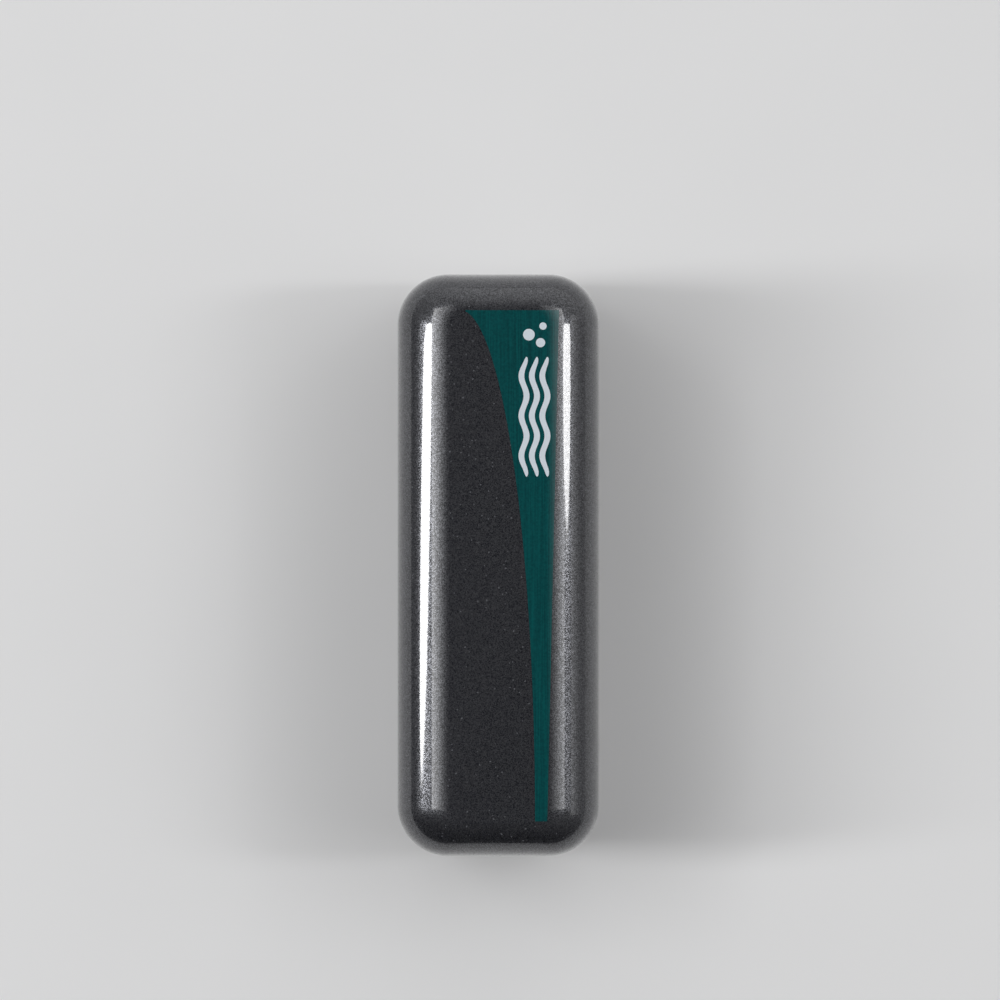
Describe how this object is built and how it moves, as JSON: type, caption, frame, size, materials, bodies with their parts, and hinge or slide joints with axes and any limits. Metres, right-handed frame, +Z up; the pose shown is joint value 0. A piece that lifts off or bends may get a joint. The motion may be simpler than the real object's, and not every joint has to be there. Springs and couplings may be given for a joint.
{
  "type": "magnetic glass cleaner",
  "caption": "Floating magnetic aquarium glass cleaner: two rounded black bar halves with magnets inside, a felt pad, a hooked-on scouring pad and a green swoosh label.",
  "frame": {"origin": "middle of the float half's flat crown, the face that the stored pair rests on", "axes": "+Y along the bar, towards the label's wide end; +Z up, from the float half to the handle half; +X towards the label's straight edge"},
  "size_m": [0.0336, 0.096, 0.0415],
  "materials": {
    "black_plastic": "satin",
    "label_film": "satin",
    "label_white": "satin",
    "nickel": "satin",
    "steel": "satin",
    "foam": "matte",
    "seal_rubber": "matte",
    "felt": "matte",
    "hook_tape": "matte",
    "loop_backing": "matte",
    "scouring_fleece": "matte"
  },
  "bodies": {
    "float_half": {"float_cover": "black_plastic", "float_base": "black_plastic", "float_seal_ring": "seal_rubber", "float_magnet_1": "nickel", "float_magnet_2": "nickel", "float_magnet_3": "nickel", "float_magnet_4": "nickel", "float_keeper_plate": "steel", "float_foam_block": "foam", "float_hook_tape": "hook_tape"},
    "scrub_pad": {"scrub_loop_backing": "loop_backing", "scrub_scouring_pad": "scouring_fleece"},
    "handle_half": {"handle_cover": "black_plastic", "handle_label": "label_film", "handle_base": "black_plastic", "handle_magnet_1": "nickel", "handle_magnet_2": "nickel", "handle_magnet_3": "nickel", "handle_magnet_4": "nickel", "handle_keeper_plate": "steel", "handle_foam_block": "foam", "handle_felt_pad": "felt"}
  },
  "joints": [
    {"name": "scrub_pad_peel", "type": "slide", "parent": "float_half", "child": "scrub_pad", "axis": [0, 0, 1], "range_m": [0, 0.03]},
    {"name": "halves_part", "type": "slide", "parent": "scrub_pad", "child": "handle_half", "axis": [0, 0, 1], "range_m": [0, 0.06]}
  ]
}
